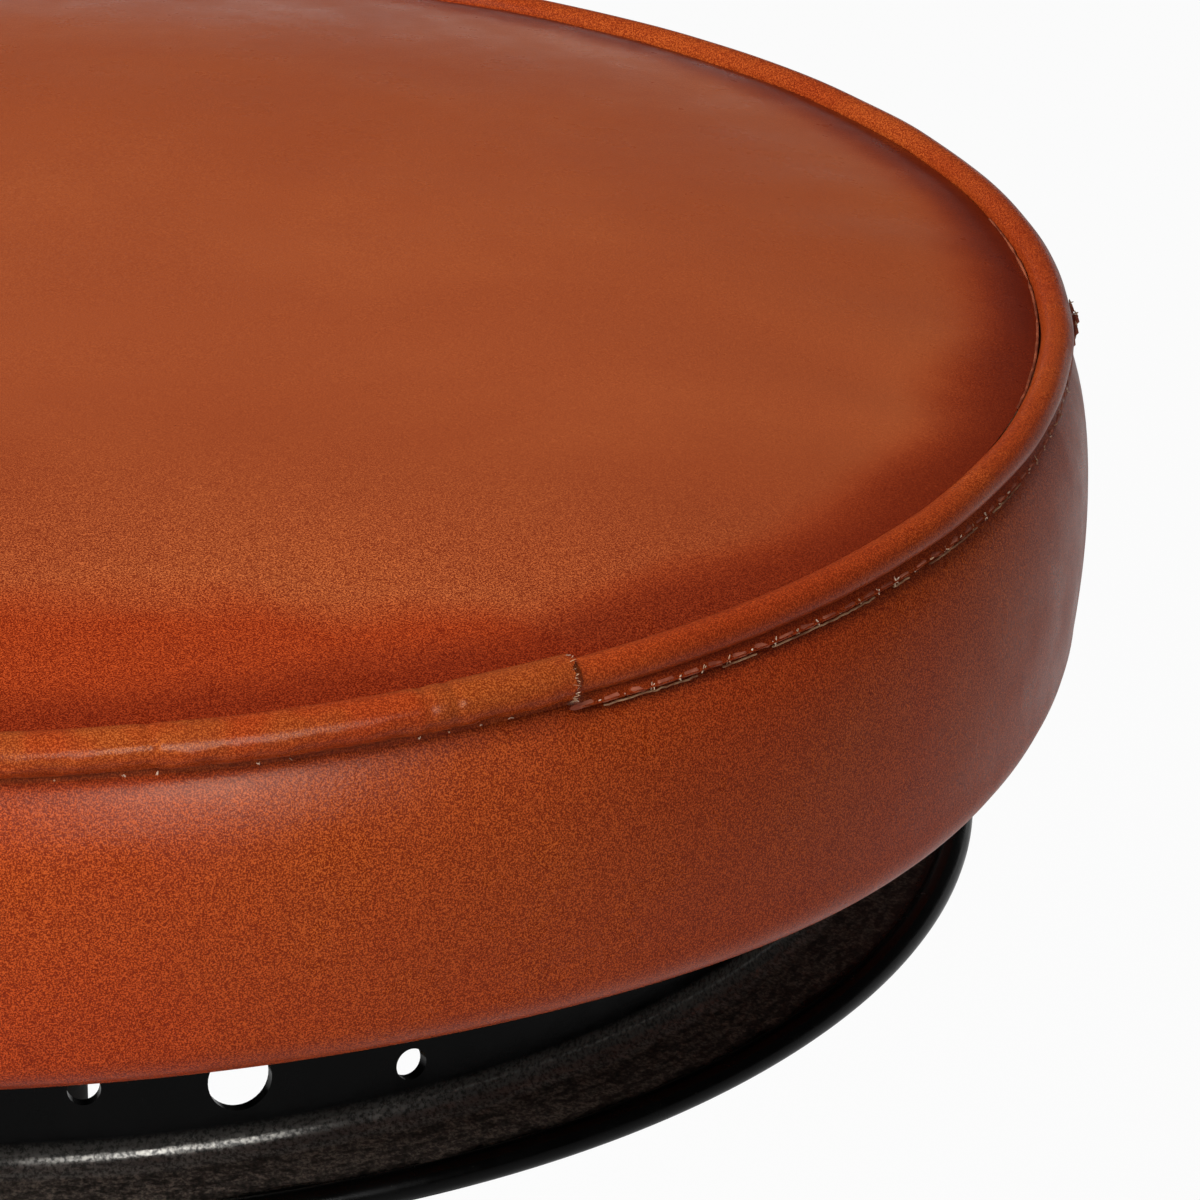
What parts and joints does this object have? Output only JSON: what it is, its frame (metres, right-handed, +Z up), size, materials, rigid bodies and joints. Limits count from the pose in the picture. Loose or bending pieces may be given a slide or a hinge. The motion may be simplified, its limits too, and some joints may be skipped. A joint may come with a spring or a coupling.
{
  "type": "tractor seat stool",
  "caption": "Round leather cushion on a perforated pressed pan, raised by turning it on a screw, over bent flat-bar legs with a foot ring.",
  "frame": {"origin": "centre of the stool at floor level, on the axis of the screw", "axes": "+Z up along the screw; the front of the seat faces -Y and the legs stand on the diagonals"},
  "size_m": [0.3668, 0.3668, 0.652],
  "materials": {
    "top_leather": "burnished, darker towards the welt",
    "band_leather": "fine grain, satin",
    "welt_leather": "thin leather round a cord, satin",
    "underside_cloth": "plain woven, matt",
    "foam": "open cell, matt",
    "plywood": "bare",
    "black_steel": "oiled black, satin, worn brown on the brim",
    "screw_steel": "turned, oiled",
    "bronze": "turned, dull",
    "fastener_steel": "blackened zinc",
    "rubber": "moulded, matt"
  },
  "bodies": {
    "base": {"hub": "black_steel", "screw_nut": "bronze", "foot_ring": "black_steel", "leg_1": "black_steel", "leg_2": "black_steel", "leg_3": "black_steel", "leg_4": "black_steel", "leg_bolt_1_1": "fastener_steel", "leg_bolt_1_2": "fastener_steel", "leg_bolt_2_1": "fastener_steel", "leg_bolt_2_2": "fastener_steel", "leg_bolt_3_1": "fastener_steel", "leg_bolt_3_2": "fastener_steel", "leg_bolt_4_1": "fastener_steel", "leg_bolt_4_2": "fastener_steel", "ring_bolt_1": "fastener_steel", "ring_bolt_2": "fastener_steel", "ring_bolt_3": "fastener_steel", "ring_bolt_4": "fastener_steel", "ring_nut_1": "fastener_steel", "ring_nut_2": "fastener_steel", "ring_nut_3": "fastener_steel", "ring_nut_4": "fastener_steel", "glide_1": "rubber", "glide_2": "rubber", "glide_3": "rubber", "glide_4": "rubber", "glide_screw_1": "fastener_steel", "glide_screw_2": "fastener_steel", "glide_screw_3": "fastener_steel", "glide_screw_4": "fastener_steel"},
    "stop": {"stop_washer": "fastener_steel"},
    "seat": {"cushion_top": "top_leather", "cushion_band": "band_leather", "welt": "welt_leather", "welt_sleeve": "welt_leather", "cushion_underside": "underside_cloth", "foam_core": "foam", "seat_board": "plywood", "seat_pan": "black_steel", "screw_flange": "black_steel", "screw": "screw_steel", "stop_bolt": "fastener_steel", "pan_bolt_1": "fastener_steel", "pan_bolt_2": "fastener_steel", "pan_bolt_3": "fastener_steel", "pan_bolt_4": "fastener_steel", "tee_nut_1": "fastener_steel", "tee_nut_2": "fastener_steel", "tee_nut_3": "fastener_steel", "tee_nut_4": "fastener_steel"}
  },
  "joints": [
    {"name": "seat_lift", "type": "slide", "parent": "base", "child": "stop", "axis": [0, 0, 1], "range_m": [0, 0.096]},
    {"name": "seat_spin", "type": "hinge", "parent": "stop", "child": "seat", "pos_m": [0, 0, 0.44], "axis": [0, 0, 1], "range_deg": [0, 2880]}
  ],
  "couplings": [
    {"joint": "seat_lift", "follows": "seat_spin", "m_per_rad": 0.0019099}
  ]
}
